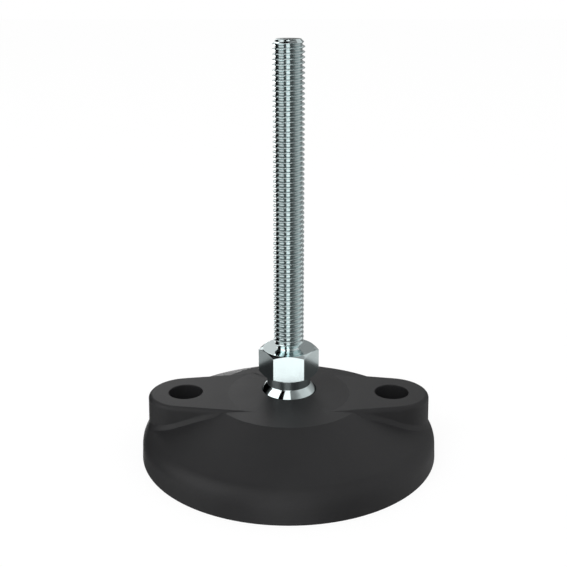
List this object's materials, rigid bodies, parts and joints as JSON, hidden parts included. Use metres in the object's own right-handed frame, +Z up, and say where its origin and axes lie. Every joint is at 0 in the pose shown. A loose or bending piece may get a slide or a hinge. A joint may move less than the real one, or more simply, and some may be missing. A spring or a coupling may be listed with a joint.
{
  "type": "swivel levelling foot",
  "caption": "Levelling foot with a threaded steel stud and spanner hexagon on a ball joint, in a round moulded plastic base with fixing lugs at opposite sides.",
  "frame": {"origin": "centre of the underside of the base, on the floor", "axes": "+Z up along the stud at rest, +X from the centre towards one of the two fixing holes"},
  "size_m": [0.08, 0.08, 0.1093],
  "materials": {
    "moulded_base": "fine-grained moulded black",
    "thrust_cup": "plain moulded, natural colour",
    "bright_steel": "turned and bright plated"
  },
  "bodies": {
    "base": {"base": "moulded_base"},
    "seat": {"ball_seat": "thrust_cup"},
    "spindle": {"spindle": "bright_steel"}
  },
  "joints": [
    {"name": "swivel", "type": "hinge", "parent": "base", "child": "seat", "pos_m": [0, 0, 0.01374], "axis": [0, 0, 1], "continuous": true},
    {"name": "tilt", "type": "hinge", "parent": "seat", "child": "spindle", "pos_m": [0, 0, 0.01374], "axis": [0, 1, 0], "range_deg": [-15, 15]}
  ]
}
